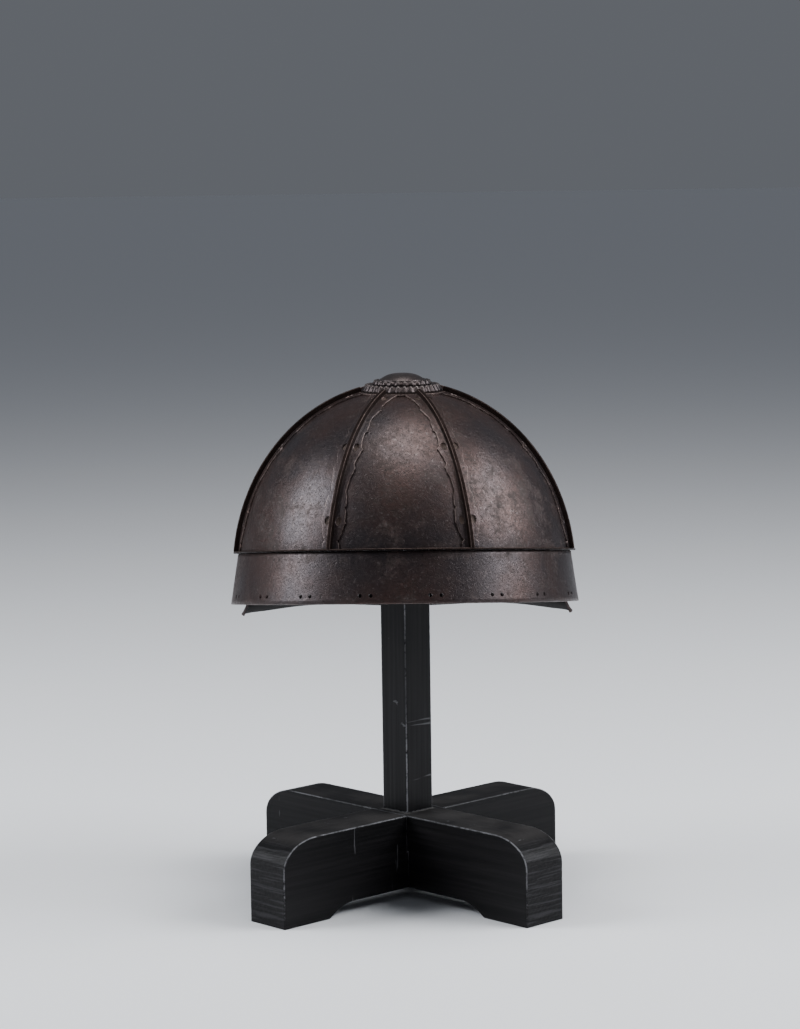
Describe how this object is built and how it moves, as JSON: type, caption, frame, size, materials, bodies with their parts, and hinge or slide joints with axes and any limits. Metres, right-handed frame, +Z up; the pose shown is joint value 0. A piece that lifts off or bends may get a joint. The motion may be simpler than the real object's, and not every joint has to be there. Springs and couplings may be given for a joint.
{
  "type": "samurai helmet bowl on a wooden cross stand",
  "caption": "Iron helmet bowl of riveted plates with ribbed scalloped strips, flared neck band, visor and petalled crown, on a dark wooden cross stand.",
  "frame": {"origin": "on the floor, under the middle of the overall box", "axes": "+Z up, +Y towards the visor at the front, -Y towards the back of the helmet, +X to the right when it is seen from behind"},
  "size_m": [0.2176, 0.256, 0.3292],
  "materials": {
    "dark_iron": "brown-black patina, satin, finely pitted",
    "strip_iron": "brown-black patina with rust-brown edges, satin",
    "crown_iron": "dark grey-brown, worn to a soft shine on the petals",
    "stained_wood": "black stain, satin, worn light along the edges"
  },
  "bodies": {
    "root": {"base_beam_a": "stained_wood", "base_beam_b": "stained_wood", "post": "stained_wood", "post_head": "stained_wood", "plate_1": "dark_iron", "rib_strip_1": "strip_iron", "plate_2": "dark_iron", "rib_strip_2": "strip_iron", "plate_3": "dark_iron", "rib_strip_3": "strip_iron", "plate_4": "dark_iron", "rib_strip_4": "strip_iron", "plate_5": "dark_iron", "rib_strip_5": "strip_iron", "plate_6": "dark_iron", "rib_strip_6": "strip_iron", "plate_7": "dark_iron", "rib_strip_7": "strip_iron", "rim_flange": "dark_iron", "waist_band": "dark_iron", "crown_seat": "crown_iron", "crown_tier": "crown_iron", "crown_cap": "crown_iron", "visor": "dark_iron", "visor_rivet_1": "dark_iron", "visor_rivet_2": "dark_iron", "visor_rivet_3": "dark_iron"}
  },
  "joints": []
}
